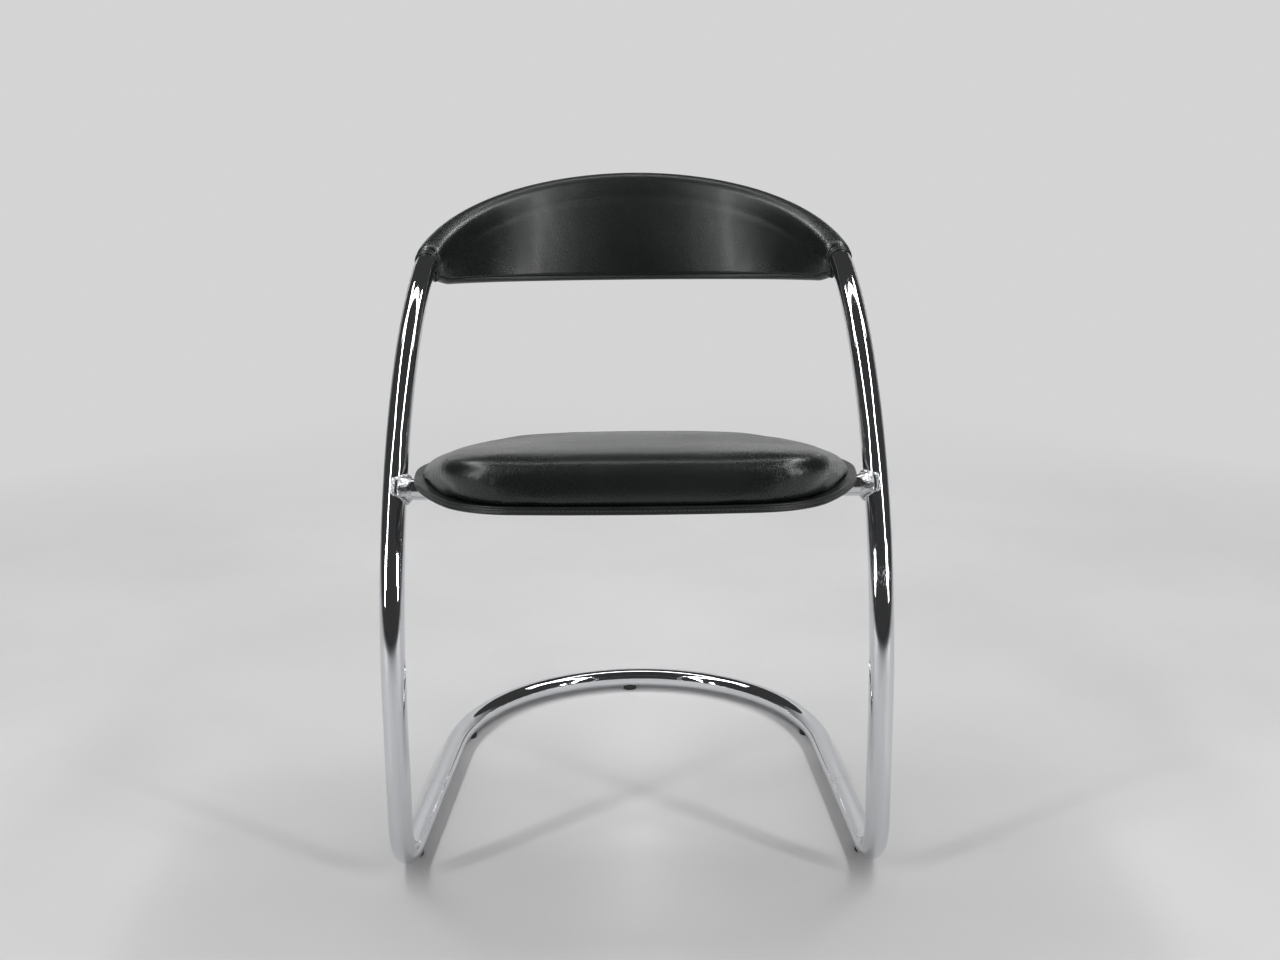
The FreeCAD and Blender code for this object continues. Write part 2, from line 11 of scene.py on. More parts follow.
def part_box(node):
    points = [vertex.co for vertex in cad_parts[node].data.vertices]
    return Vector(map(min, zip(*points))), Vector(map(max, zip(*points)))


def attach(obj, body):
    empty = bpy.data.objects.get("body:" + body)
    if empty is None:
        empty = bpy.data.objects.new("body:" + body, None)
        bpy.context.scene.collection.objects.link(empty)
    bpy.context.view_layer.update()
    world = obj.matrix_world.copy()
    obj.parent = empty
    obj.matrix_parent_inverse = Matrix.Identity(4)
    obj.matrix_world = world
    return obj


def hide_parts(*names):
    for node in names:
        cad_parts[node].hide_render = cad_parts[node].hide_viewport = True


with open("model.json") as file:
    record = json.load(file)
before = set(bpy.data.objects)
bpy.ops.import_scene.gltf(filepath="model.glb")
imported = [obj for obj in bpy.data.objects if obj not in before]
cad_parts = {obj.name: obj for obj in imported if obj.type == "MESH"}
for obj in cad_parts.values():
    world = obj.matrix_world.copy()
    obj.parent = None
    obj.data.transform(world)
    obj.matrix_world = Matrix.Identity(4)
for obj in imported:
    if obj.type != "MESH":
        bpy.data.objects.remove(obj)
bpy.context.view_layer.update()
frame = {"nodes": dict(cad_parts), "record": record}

bl_info = {
    "name": "Cantilever chair",
    "version": (1, 0, 0),
    "blender": (4, 5, 0),
    "location": "3D View > Sidebar > Chair",
    "description": "Leather, stitching, welds and finishes for a cantilever side chair, with a plain studio",
    "category": "Object",
}

MM = 0.001

# The frame's centre lines, as the solids have them
TUBE_RADIUS = 12.5 * MM
LEG_X = 245 * MM
LEG_ARC_RADIUS = 455 * MM
LEG_ARC_START = 195 * MM
LEG_ARC_ANGLE = 66.0
LEG_TOE_IN = 1.6
HOOP_CORNER_RADIUS = 225 * MM
HOOP_CORNER_ANGLE = 60.0
LEGS_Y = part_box("upper_frame_tube")[0].y + TUBE_RADIUS

# The seat's plan and heights, over the plane on top of the cross tube
SEAT_WIDTH = 447 * MM
SEAT_DEPTH = 386 * MM
SEAT_OVERHANG = 156 * MM
SEAT_WIDEST_DISTANCE = 236 * MM
SEAT_PITCH = 3.0
SEAT_FRONT_RADIUS = 1200 * MM
SEAT_SIDE_RADIUS = 380 * MM
SEAT_REAR_RADIUS = 350 * MM
SEAT_FRONT_CORNER = 85 * MM
SEAT_REAR_CORNER = 150 * MM
SEAT_SMALLEST_CORNER = 28 * MM
PAD_SIDE_ADVANCE = 146 * MM
PAD_SIDE_FLATTENING = 150 * MM
PAD_STRAIGHT_FROM = 9 * MM
PAD_STRAIGHT_TO = 54 * MM
CROSS_TUBE_RADIUS = 11 * MM
PAD_BASE = 7.3 * MM
PAD_FRONT_HEIGHT = 46 * MM
PAD_REAR_HEIGHT = 19.5 * MM
LINING_BASE = 3 * MM

# The back's sections across the hoop
BACK_ENTRY = 26 * MM
BACK_SLEEVE_RADIUS = 16 * MM
BACK_LOWER_DROP = 18.7 * MM
BACK_END_RISE = 8 * MM
BACK_END_DROP = 19 * MM
BACK_CORNER_RUN = 34 * MM
BACK_LEAN = 20.0
BACK_EDGE_HALF = 4 * MM
BACK_TUBE_CLEARANCE = 0.7 * MM
BACK_SEAM_HALF = 1.9 * MM
BACK_END_CLOSING = 9 * MM
BACK_CREASE_REACH = 18 * MM
BACK_CREASE_WIDTH = 3.6 * MM
BACK_FULL_CROWN = 80 * MM
BACK_FULL_CREASE = 60 * MM

# How high the scuff on the right leg lies, and the sideways shift of the lens in the photograph
SCUFF_HEIGHT = 325 * MM
SIDE_SHIFT = 0.0035


def sin(angle):
    return math.sin(math.radians(angle))


def cos(angle):
    return math.cos(math.radians(angle))


def leg_arc_point(angle):
    reach = LEG_ARC_RADIUS * (1 - cos(angle))
    x = LEG_X - reach * sin(LEG_TOE_IN)
    y = LEGS_Y + reach * cos(LEG_TOE_IN)
    return Vector((x, y, LEG_ARC_START + LEG_ARC_RADIUS * sin(angle)))


HOOP_START = leg_arc_point(LEG_ARC_ANGLE)
HOOP_RISE = math.hypot(sin(LEG_ARC_ANGLE) * cos(LEG_TOE_IN), cos(LEG_ARC_ANGLE))
HOOP_HEADING = math.degrees(math.atan2(sin(LEG_ARC_ANGLE) * sin(LEG_TOE_IN), HOOP_RISE))
HOOP_SLOPE = math.degrees(math.atan2(cos(LEG_ARC_ANGLE), sin(LEG_ARC_ANGLE) * cos(LEG_TOE_IN)))
HOOP_AXIS = Vector((0, cos(HOOP_SLOPE), sin(HOOP_SLOPE)))
HOOP_CORNER_RUN = HOOP_CORNER_RADIUS * (sin(HOOP_CORNER_ANGLE) - sin(HOOP_HEADING))
HOOP_CROWN_X = HOOP_START.x - HOOP_CORNER_RADIUS * (cos(HOOP_HEADING) - cos(HOOP_CORNER_ANGLE))
HOOP_CROWN_RADIUS = HOOP_CROWN_X / cos(HOOP_CORNER_ANGLE)
BACK_FIRST_ANGLE = HOOP_HEADING + math.degrees(BACK_ENTRY / HOOP_CORNER_RADIUS)


def hoop_point(angle):
    """A point on the right half of the hoop, by its heading angle."""
    if angle <= HOOP_CORNER_ANGLE:
        x = HOOP_START.x - HOOP_CORNER_RADIUS * (cos(HOOP_HEADING) - cos(angle))
        run = HOOP_CORNER_RADIUS * (sin(angle) - sin(HOOP_HEADING))
    else:
        x = HOOP_CROWN_RADIUS * cos(angle)
        run = HOOP_CORNER_RUN + HOOP_CROWN_RADIUS * (sin(angle) - sin(HOOP_CORNER_ANGLE))
    return Vector((x, HOOP_START.y, HOOP_START.z)) + HOOP_AXIS * run


class Station:
    """One section through the back: side is 1 on the chair's right and -1 on its left."""

    def __init__(self, angle, side, crown=0.0):
        self.centre = hoop_point(angle)
        out = Vector((cos(angle), sin(angle) * cos(HOOP_SLOPE), 0)).normalized()
        self.from_end = math.radians(angle - BACK_FIRST_ANGLE) * HOOP_CORNER_RADIUS
        share = max(0.0, min(self.from_end / BACK_CORNER_RUN, 1.0))
        level = HOOP_START.z - BACK_LOWER_DROP + BACK_END_RISE * (1 - sin(angle))
        end_level = self.centre.z - BACK_END_DROP
        bottom = end_level + (level - end_level) * (1 - (1 - share) ** 2)
        self.length = (self.centre.z - bottom) / cos(BACK_LEAN)
        self.down = Vector((0, 0, -cos(BACK_LEAN))) - out * sin(BACK_LEAN)
        self.face = out * -cos(BACK_LEAN) + Vector((0, 0, sin(BACK_LEAN)))
        self.taper = (BACK_SLEEVE_RADIUS - BACK_EDGE_HALF) / self.length
        self.spread = math.sqrt(1 - self.taper ** 2)
        self.side = side
        self.crown = crown

    def at(self, reach, offset):
        point = self.centre + self.down * reach + self.face * offset
        return Vector((point.x * self.side, point.y, point.z))

    def bulge(self, reach):
        share = max(0.0, min(1.0, reach / self.length))
        return self.crown * 4 * share * (1 - share) * min(1.0, self.length / BACK_FULL_CROWN)

    def shut(self):
        """From 1 well inside the leather to 0 where its end closes on the tube."""
        share = max(0.0, min(1.0, self.from_end / BACK_END_CLOSING))
        return math.sqrt(1 - (1 - share) ** 2)

    def closed_offset(self, reach):
        around = (TUBE_RADIUS + BACK_TUBE_CLEARANCE) ** 2 - reach ** 2
        return math.sqrt(max(around, BACK_SEAM_HALF ** 2))

    def outer(self, reach, way, depth=0.0):
        """How far a face lies off the middle plane, way being 1 in front and -1 behind."""
        full = (BACK_SLEEVE_RADIUS - reach * self.taper) / self.spread
        full += self.bulge(reach) * (1.0 if way > 0 else 0.3)
        crease = math.exp(-(((reach - BACK_CREASE_REACH) / BACK_CREASE_WIDTH) ** 2))
        full -= (0.9 if way > 0 else 0.4) * MM * crease * min(1.0, self.length / BACK_FULL_CREASE)
        shut = self.shut()
        return way * (full * shut + self.closed_offset(reach) * (1 - shut) - depth)

    def round_top(self, turn, depth=0.0):
        """A point on the leather over the tube, turned from the top towards the front."""
        bare = TUBE_RADIUS + BACK_TUBE_CLEARANCE
        radius = BACK_SLEEVE_RADIUS * self.shut() + bare * (1 - self.shut()) - depth
        return self.at(-radius * cos(turn), radius * sin(turn))


def back_stations(spacing, crown=0.0):
    """Stations from the back's right end round to its left end."""
    span = 90 - BACK_FIRST_ANGLE
    count = int(math.radians(span) * HOOP_CORNER_RADIUS / spacing)
    shares = [k / count for k in range(count + 1)]
    near = [0.1, 0.3, 0.6]
    angles = [BACK_FIRST_ANGLE + span * share for share in shares]
    angles[1:1] = [angles[0] + (angles[1] - angles[0]) * share for share in near]
    right = [Station(angle, 1, crown) for angle in angles]
    left = [Station(angle, -1, crown) for angle in reversed(angles[:-1])]
    return right + left


def seat_matrix():
    low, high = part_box("seat_cross_tube")
    tip = Euler((math.radians(-SEAT_PITCH), 0, 0)).to_matrix()
    middle = Vector((0, (low.y + high.y) / 2, (low.z + high.z) / 2))
    return Matrix.Translation(middle + tip @ Vector((0, 0, CROSS_TUBE_RADIUS))) @ tip.to_4x4()


SEAT_FRAME = seat_matrix()
SEAT_FRONT = LEGS_Y - SEAT_OVERHANG - (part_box("seat_cross_tube")[0].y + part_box("seat_cross_tube")[1].y) / 2
SEAT_REAR = SEAT_FRONT + SEAT_DEPTH
SEAT_MIDDLE = (SEAT_FRONT + SEAT_REAR) / 2


def rolled(end, end_radius, flank, flank_radius, radius):
    """The centre of a corner arc that rolls inside two larger arcs."""
    reach_a, reach_b = end_radius - radius, flank_radius - radius
    apart = flank - end
    span = np.linalg.norm(apart)
    along = (reach_a ** 2 - reach_b ** 2 + span ** 2) / (2 * span)
    off = math.sqrt(reach_a ** 2 - along ** 2)
    forward = apart / span
    across = np.array((-forward[1], forward[0]))
    return max((end + forward * along + across * off * way for way in (1, -1)), key=lambda c: c[0])


def bearing(start, end):
    return math.atan2(end[1] - start[1], end[0] - start[0])


def seat_arcs(insets, straight=0.0):
    """The right half of the seat's plan: centre, radius, first and last angle of each arc."""
    front_in, side_in, rear_in = insets
    full_side_radius = SEAT_SIDE_RADIUS + straight * PAD_SIDE_FLATTENING
    widest = SEAT_FRONT + SEAT_WIDEST_DISTANCE - straight * PAD_SIDE_ADVANCE
    front = np.array((0, SEAT_FRONT + SEAT_FRONT_RADIUS))
    rear = np.array((0, SEAT_REAR - SEAT_REAR_RADIUS))
    flank = np.array((SEAT_WIDTH / 2 - full_side_radius, widest))
    front_radius, side_radius, rear_radius = (
        SEAT_FRONT_RADIUS - front_in, full_side_radius - side_in, SEAT_REAR_RADIUS - rear_in)
    near_radius = max(SEAT_FRONT_CORNER - (front_in + side_in) / 2, SEAT_SMALLEST_CORNER)
    far_radius = max(SEAT_REAR_CORNER - (rear_in + side_in) / 2, SEAT_SMALLEST_CORNER)
    near = rolled(front, front_radius, flank, side_radius, near_radius)
    far = rolled(rear, rear_radius, flank, side_radius, far_radius)
    return [
        (front, front_radius, -math.pi / 2, bearing(front, near)),
        (near, near_radius, bearing(front, near), bearing(flank, near)),
        (flank, side_radius, bearing(flank, near), bearing(flank, far)),
        (far, far_radius, bearing(flank, far), bearing(rear, far)),
        (rear, rear_radius, bearing(rear, far), math.pi / 2),
    ]


ARC_SHARES = [radius * (end - start) for _, radius, start, end in seat_arcs((0.0, 0.0, 0.0))]


def seat_ring(insets, spacing, straight=0.0):
    """The seat's plan drawn in at front, sides and rear, as points from the front to the right."""
    if not isinstance(insets, tuple):
        insets = (insets,) * 3
    right = []
    for (centre, radius, start, end), length in zip(seat_arcs(insets, straight), ARC_SHARES):
        count = max(2, round(length / spacing))
        for k in range(count):
            angle = start + (end - start) * k / count
            right.append((centre[0] + radius * math.cos(angle), centre[1] + radius * math.sin(angle)))
    right.append((0.0, SEAT_REAR - insets[2]))
    left = [(-x, y) for x, y in reversed(right[1:-1])]
    return right + left


def on_seat(points):
    return [SEAT_FRAME @ Vector(point) for point in points]


def shut_ring(points, share, height):
    """A ring shrunk towards the middle of the seat, at one height."""
    return [(x * share, SEAT_MIDDLE + (y - SEAT_MIDDLE) * share, height) for x, y in points]


def smooth_levels(levels, steps):
    """More levels on a smooth curve through the given ones."""
    grid = np.array(levels, float)
    padded = np.vstack([2 * grid[0] - grid[1], grid, 2 * grid[-1] - grid[-2]])
    found = []
    for k in range(len(grid) - 1):
        a, b, c, d = padded[k:k + 4]
        for step in range(steps):
            t = step / steps
            bend = (2 * a - 5 * b + 4 * c - d) * t ** 2
            twist = (3 * b - a - 3 * c + d) * t ** 3
            found.append(0.5 * (2 * b + (c - a) * t + bend + twist))
    return found + [grid[-1]]


# Meshes

def new_piece(name, verts, faces, edges=()):
    mesh = bpy.data.meshes.new(name)
    mesh.from_pydata([tuple(v) for v in verts], list(edges), faces)
    mesh.update()
    piece = bpy.data.objects.new(name, mesh)
    bpy.context.scene.collection.objects.link(piece)
    return piece


def lofted(name, rings, along=False, ends=False):
    """Quads between rings of equally many points, with flat ends where asked."""
    count = len(rings[0])
    verts = [point for ring in rings for point in ring]
    faces = []
    for i in range(len(rings) if along else len(rings) - 1):
        here, there = i * count, (i + 1) % len(rings) * count
        for j in range(count):
            k = (j + 1) % count
            faces.append((here + j, here + k, there + k, there + j))
    if ends:
        last = (len(rings) - 1) * count
        faces.append(tuple(reversed(range(count))))
        faces.append(tuple(range(last, last + count)))
    piece = new_piece(name, verts, faces)
    outward(piece)
    return piece


def outward(piece):
    """Merges doubles and turns every face outwards."""
    work = bmesh.new()
    work.from_mesh(piece.data)
    bmesh.ops.remove_doubles(work, verts=work.verts, dist=1e-6)
    bmesh.ops.recalc_face_normals(work, faces=work.faces)
    work.to_mesh(piece.data)
    work.free()
    smooth(piece)


def smooth(piece):
    piece.data.polygons.foreach_set("use_smooth", [True] * len(piece.data.polygons))
    piece.data.update()


def plain_mesh(piece):
    """Turns what the modifiers make into the piece's own mesh and takes them off."""
    graph = bpy.context.evaluated_depsgraph_get()
    made = bpy.data.meshes.new_from_object(piece.evaluated_get(graph))
    piece.modifiers.clear()
    piece.data = made
    made.name = piece.name
    return piece


def with_modifier(piece, kind, **settings):
    modifier = piece.modifiers.new(kind.title(), kind)
    for key, value in settings.items():
        setattr(modifier, key, value)
    bpy.context.view_layer.update()
    return plain_mesh(piece)


def points_of(mesh):
    flat = np.empty(len(mesh.vertices) * 3)
    mesh.vertices.foreach_get("co", flat)
    return flat.reshape(-1, 3)


def swollen(piece, voxel, pressure, cap, held):
    """Puffs a closed pad up with cloth, each point moving no further than the cap."""
    with_modifier(piece, "REMESH", mode="VOXEL", voxel_size=voxel)
    rest = points_of(piece.data)
    group = piece.vertex_groups.new(name="held")
    group.add([index for index, point in enumerate(rest) if held(point)], 1.0, "REPLACE")
    cloth = piece.modifiers.new("Cloth", "CLOTH")
    cloth.settings.quality = 6
    cloth.settings.mass = 0.25
    cloth.settings.tension_stiffness = 18
    cloth.settings.compression_stiffness = 18
    cloth.settings.bending_stiffness = 2.0
    cloth.settings.use_pressure = True
    cloth.settings.uniform_pressure_force = pressure
    cloth.settings.effector_weights.gravity = 0
    cloth.settings.vertex_group_mass = "held"
    scene = bpy.context.scene
    for step in range(1, 21):
        scene.frame_set(step)
    graph = bpy.context.evaluated_depsgraph_get()
    moved = points_of(piece.evaluated_get(graph).to_mesh()) - rest
    piece.evaluated_get(graph).to_mesh_clear()
    far = np.linalg.norm(moved, axis=1, keepdims=True)
    moved *= np.minimum(1.0, cap / np.maximum(far, 1e-9))
    piece.modifiers.clear()
    piece.data.vertices.foreach_set("co", (rest + moved).ravel())
    piece.data.update()
    piece.vertex_groups.clear()
    scene.frame_set(1)
    with_modifier(piece, "SMOOTH", factor=0.5, iterations=18)
    with_modifier(piece, "SUBSURF", levels=1, render_levels=1)
    smooth(piece)
    return piece


def rode(piece, finish, replaced=()):
    """Gives a finished piece its material, its body and what it stands for."""
    if finish is not None:
        piece.data.materials.clear()
        piece.data.materials.append(finish)
    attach(piece, "root")
    if replaced:
        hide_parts(*replaced)
    return piece


# Rows of stitches, weld ripples and staples

def bead_tree():
    """Small rounded beads set along a path, long way first."""
    tree = bpy.data.node_groups.new("Beads along a path", "GeometryNodeTree")
    sockets = tree.interface
    sockets.new_socket("Path", in_out="INPUT", socket_type="NodeSocketGeometry")
    for name in ("Spacing", "Length", "Width", "Height"):
        sockets.new_socket(name, in_out="INPUT", socket_type="NodeSocketFloat")
    sockets.new_socket("Finish", in_out="INPUT", socket_type="NodeSocketMaterial")
    sockets.new_socket("Beads", in_out="OUTPUT", socket_type="NodeSocketGeometry")
    nodes, links = tree.nodes, tree.links
    given, made = nodes.new("NodeGroupInput"), nodes.new("NodeGroupOutput")
    curve = nodes.new("GeometryNodeMeshToCurve")
    spots = nodes.new("GeometryNodeCurveToPoints")
    spots.mode = "LENGTH"
    bead = nodes.new("GeometryNodeMeshUVSphere")
    bead.inputs["Segments"].default_value = 8
    bead.inputs["Rings"].default_value = 6
    bead.inputs["Radius"].default_value = 0.5
    size = nodes.new("ShaderNodeCombineXYZ")
    place = nodes.new("GeometryNodeInstanceOnPoints")
    real = nodes.new("GeometryNodeRealizeInstances")
    painted = nodes.new("GeometryNodeSetMaterial")
    links.new(given.outputs["Path"], curve.inputs[0])
    links.new(curve.outputs[0], spots.inputs["Curve"])
    links.new(given.outputs["Spacing"], spots.inputs["Length"])
    links.new(given.outputs["Height"], size.inputs["X"])
    links.new(given.outputs["Width"], size.inputs["Y"])
    links.new(given.outputs["Length"], size.inputs["Z"])
    links.new(spots.outputs["Points"], place.inputs["Points"])
    links.new(spots.outputs["Rotation"], place.inputs["Rotation"])
    links.new(bead.outputs["Mesh"], place.inputs["Instance"])
    links.new(size.outputs[0], place.inputs["Scale"])
    links.new(place.outputs[0], real.inputs[0])
    links.new(real.outputs[0], painted.inputs["Geometry"])
    links.new(given.outputs["Finish"], painted.inputs["Material"])
    links.new(painted.outputs[0], made.inputs[0])
    return tree


def beads(name, paths, sizes, finish):
    """A row of beads on each path; sizes are spacing, length, width and height."""
    tree = bpy.data.node_groups.get("Beads along a path") or bead_tree()
    verts, edges = [], []
    for points, closed in paths:
        first = len(verts)
        verts.extend(points)
        edges.extend((first + k, first + k + 1) for k in range(len(points) - 1))
        if closed:
            edges.append((len(verts) - 1, first))
    piece = new_piece(name, verts, [], edges)
    modifier = piece.modifiers.new("Beads", "NODES")
    modifier.node_group = tree
    given = dict(zip(("Spacing", "Length", "Width", "Height"), sizes), Finish=finish)
    for socket in tree.interface.items_tree:
        if socket.name in given:
            modifier[socket.identifier] = given[socket.name]
    bpy.context.view_layer.update()
    plain_mesh(piece)
    smooth(piece)
    return rode(piece, None)


# Finishes

class Wire:
    """A shader socket that can be used in sums."""

    def __init__(self, finish, socket):
        self.finish = finish
        self.socket = socket

    def sum(self, operation, first, second):
        return self.finish.node("ShaderNodeMath", {"operation": operation}, {0: first, 1: second})

    def __add__(self, other):
        return self.sum("ADD", self, other)

    def __sub__(self, other):
        return self.sum("SUBTRACT", self, other)

    def __mul__(self, other):
        return self.sum("MULTIPLY", self, other)

    def at_most(self, other):
        return self.sum("MINIMUM", self, other)

    def sine(self):
        return self.finish.node("ShaderNodeMath", {"operation": "SINE"}, {0: self})


class Finish:
    """One material: a principled shader and the nodes that feed it."""

    def __init__(self, name, **plain):
        self.material = bpy.data.materials.new(name)
        self.material.use_nodes = True
        self.nodes = self.material.node_tree.nodes
        self.links = self.material.node_tree.links
        self.shader = self.nodes["Principled BSDF"]
        self.place = self.node("ShaderNodeTexCoord", output="Object")
        for name, value in plain.items():
            self.shader.inputs[name.replace("_", " ").title().replace("Ior", "IOR")].default_value = value

    def node(self, kind, settings=None, inputs=None, output=0):
        made = self.nodes.new(kind)
        for key, value in (settings or {}).items():
            setattr(made, key, value)
        for key, value in (inputs or {}).items():
            if isinstance(value, Wire):
                self.links.new(value.socket, made.inputs[key])
            else:
                made.inputs[key].default_value = value
        return Wire(self, made.outputs[output])

    def feed(self, name, wire):
        self.links.new(wire.socket, self.shader.inputs[name])

    def noise(self, scale, detail=3.0, roughness=0.5, place=None):
        inputs = {"Vector": place or self.place, "Scale": scale, "Detail": detail, "Roughness": roughness}
        return self.node("ShaderNodeTexNoise", None, inputs)

    def cells(self, scale, feature="F1"):
        inputs = {"Vector": self.place, "Scale": scale}
        return self.node("ShaderNodeTexVoronoi", {"feature": feature}, inputs, "Distance")

    def between(self, wire, low, high, to_low=0.0, to_high=1.0):
        inputs = {"Value": wire, "From Min": low, "From Max": high, "To Min": to_low, "To Max": to_high}
        return self.node("ShaderNodeMapRange", {"clamp": True}, inputs)

    def tint(self, factor, first, second):
        def colour(value):
            return value if isinstance(value, Wire) else (*value, 1.0)

        inputs = {0: factor, 6: colour(first), 7: colour(second)}
        return self.node("ShaderNodeMix", {"data_type": "RGBA"}, inputs, 2)

    def stretched(self, x, y, z):
        return self.node("ShaderNodeVectorMath", {"operation": "MULTIPLY"}, {0: self.place, 1: (x, y, z)})

    def axis(self, name):
        return self.node("ShaderNodeSeparateXYZ", None, {0: self.place}, name)

    def bump(self, height, strength, distance):
        inputs = {"Height": height, "Strength": strength, "Distance": distance}
        self.feed("Normal", self.node("ShaderNodeBump", None, inputs))


def looks():
    return bpy.context.scene.chair_looks


def chrome(name, tint, roughness, scuff):
    """Polished chrome with faint haze, wipe marks, a few pits and one pale scuff round a point."""
    finish = Finish(name, metallic=1.0)
    haze = finish.noise(9.0, 4.0, 0.6)
    wipes = finish.noise(1.0, 3.0, 0.6, finish.stretched(160.0, 160.0, 14.0))
    pits = finish.between(finish.cells(420.0), 0.03, 0.10, 1.0, 0.0)
    pits = pits * finish.between(finish.noise(22.0), 0.60, 0.68)
    dull = finish.between(haze, 0.45, 0.75, 0.0, 0.05) + finish.between(wipes, 0.5, 0.8, 0.0, 0.035)
    ends = {0: finish.place, 1: scuff}
    away = finish.node("ShaderNodeVectorMath", {"operation": "DISTANCE"}, ends, "Value")
    scratches = finish.noise(1.0, 4.0, 0.7, finish.stretched(900.0, 900.0, 90.0))
    scuffed = finish.between(away, 0.006, 0.016, 1.0, 0.0) * finish.between(scratches, 0.48, 0.60)
    finish.feed("Roughness", (dull + roughness + pits * 0.3 + scuffed * 0.4).at_most(0.6))
    worn = tuple(channel * 0.55 for channel in tint)
    pale = tuple(min(1.0, channel * 1.25) for channel in tint)
    finish.feed("Base Color", finish.tint(scuffed, finish.tint(pits * 0.8, tint, worn), pale))
    finish.bump(haze * 0.2 - pits, 0.06, 0.0004)
    return finish.material


def weld_metal(name, tint):
    """Chromed weld: the same plating over a rough, rippled bead, its colour darkened in the low parts of the
    ripples as painted shade.
    """
    finish = Finish(name, metallic=1.0)
    lumps = finish.noise(260.0, 4.0, 0.6)
    grit = finish.noise(900.0, 2.0)
    finish.feed("Roughness", finish.between(grit, 0.35, 0.7, 0.10, 0.32))
    # painted shade: the plating colour drops to half where the ripples are low
    dark = tuple(channel * 0.5 for channel in tint)
    finish.feed("Base Color", finish.tint(finish.between(lumps, 0.3, 0.6), dark, tint))
    finish.bump(lumps + grit * 0.3, 0.6, 0.0012)
    return finish.material


def leather(name, tint, shine=0.26):
    """Black cowhide: fine pebbled grain, soft creases, satin top coat, rubbed a little paler."""
    finish = Finish(name, coat_weight=0.10, coat_roughness=0.18, ior=1.45)
    wander = finish.noise(60.0, 2.0)
    pebbles = finish.cells(750.0, "SMOOTH_F1")
    fine = finish.noise(2200.0, 2.0)
    creases = finish.noise(1.0, 5.0, 0.62, finish.stretched(38.0, 95.0, 60.0))
    patches = finish.noise(7.0, 3.0, 0.55)
    height = pebbles * 0.7 + fine * 0.35 + creases * 0.8
    finish.bump(height, 0.6, 0.00035)
    gloss = finish.between(patches, 0.3, 0.7, shine - 0.05, shine + 0.05)
    finish.feed("Roughness", gloss + finish.between(pebbles, 0.2, 0.7, 0.0, 0.08) + wander * 0.02)
    pale = tuple(channel * 1.9 + 0.004 for channel in tint)
    rubbed = finish.between(patches, 0.45, 0.8, 0.0, 0.55) * finish.between(fine, 0.35, 0.65, 0.5, 1.0)
    finish.feed("Base Color", finish.tint(rubbed, tint, pale))
    return finish.material


def cut_leather(name, tint):
    """The dyed, burnished edge and hems of the leather."""
    finish = Finish(name, ior=1.48)
    fibres = finish.noise(1.0, 4.0, 0.6, finish.stretched(500.0, 500.0, 1800.0))
    patches = finish.noise(14.0)
    finish.feed("Roughness", finish.between(patches, 0.3, 0.7, 0.34, 0.50))
    pale = tuple(channel * 2.2 + 0.003 for channel in tint)
    finish.feed("Base Color", finish.tint(finish.between(fibres, 0.4, 0.8, 0.0, 0.6), tint, pale))
    finish.bump(fibres + patches * 0.5, 0.25, 0.0003)
    return finish.material


def thread(name, tint):
    """Waxed sewing thread with its twist."""
    finish = Finish(name)
    place = finish.axis("X") * 4200.0 + finish.axis("Y") * 4200.0 + finish.axis("Z") * 3600.0
    twist = place.sine() * 0.5 + 0.5
    fuzz = finish.noise(2500.0)
    pale = tuple(channel * 2.4 + 0.01 for channel in tint)
    finish.feed("Base Color", finish.tint(twist * 0.6 + fuzz * 0.3, tint, pale))
    finish.feed("Roughness", finish.between(fuzz, 0.3, 0.7, 0.5, 0.75))
    finish.bump(twist, 0.5, 0.0002)
    return finish.material


def moulded(name, tint):
    """Moulded black plastic with spark-eroded texture and a scuffed sole."""
    finish = Finish(name, ior=1.46)
    grain = finish.noise(900.0, 2.0)
    scuffs = finish.between(finish.noise(1.0, 4.0, 0.6, finish.stretched(120.0, 700.0, 40.0)), 0.55, 0.75)
    finish.feed("Roughness", finish.between(grain, 0.3, 0.7, 0.42, 0.56) + scuffs * 0.15)
    pale = tuple(channel * 2.0 + 0.03 for channel in tint)
    finish.feed("Base Color", finish.tint(scuffs * 0.6, tint, pale))
    finish.bump(grain, 0.25, 0.0003)
    return finish.material


def bare_metal(name, tint, low, high):
    """Zinc-plated or drawn steel with a cloudy plating."""
    finish = Finish(name, metallic=1.0)
    clouds = finish.noise(120.0, 4.0, 0.6)
    drawn = finish.noise(1.0, 3.0, 0.6, finish.stretched(900.0, 900.0, 60.0))
    finish.feed("Roughness", finish.between(drawn, 0.3, 0.7, low, high))
    dark = tuple(channel * 0.7 for channel in tint)
    finish.feed("Base Color", finish.tint(finish.between(clouds, 0.35, 0.65), dark, tint))
    finish.bump(drawn, 0.15, 0.0002)
    return finish.material


def plate_paint(name, tint):
    """Black powder coat: orange peel, with dust in the hollows."""
    finish = Finish(name, ior=1.5)
    peel = finish.noise(420.0, 2.0, 0.45)
    dust = finish.between(finish.noise(30.0, 5.0, 0.7), 0.5, 0.8)
    finish.feed("Roughness", finish.between(peel, 0.3, 0.7, 0.38, 0.50) + dust * 0.12)
    pale = tuple(channel * 1.6 + 0.02 for channel in tint)
    finish.feed("Base Color", finish.tint(dust * 0.4, tint, pale))
    finish.bump(peel, 0.35, 0.0005)
    return finish.material


def plywood(name, light, dark):
    """Beech plywood: grain along the depth, veneer layers through the edge."""
    finish = Finish(name, ior=1.45)
    grain = finish.noise(1.0, 5.0, 0.6, finish.stretched(150.0, 9.0, 150.0))
    layers = (finish.axis("Z") * 4190.0).sine() * 0.5 + 0.5
    share = finish.between(grain, 0.3, 0.75, 0.0, 0.7) + layers * 0.25
    finish.feed("Base Color", finish.tint(share.at_most(1.0), light, dark))
    finish.feed("Roughness", finish.between(grain, 0.3, 0.7, 0.55, 0.72))
    finish.bump(grain + layers * 0.3, 0.2, 0.0003)
    return finish.material


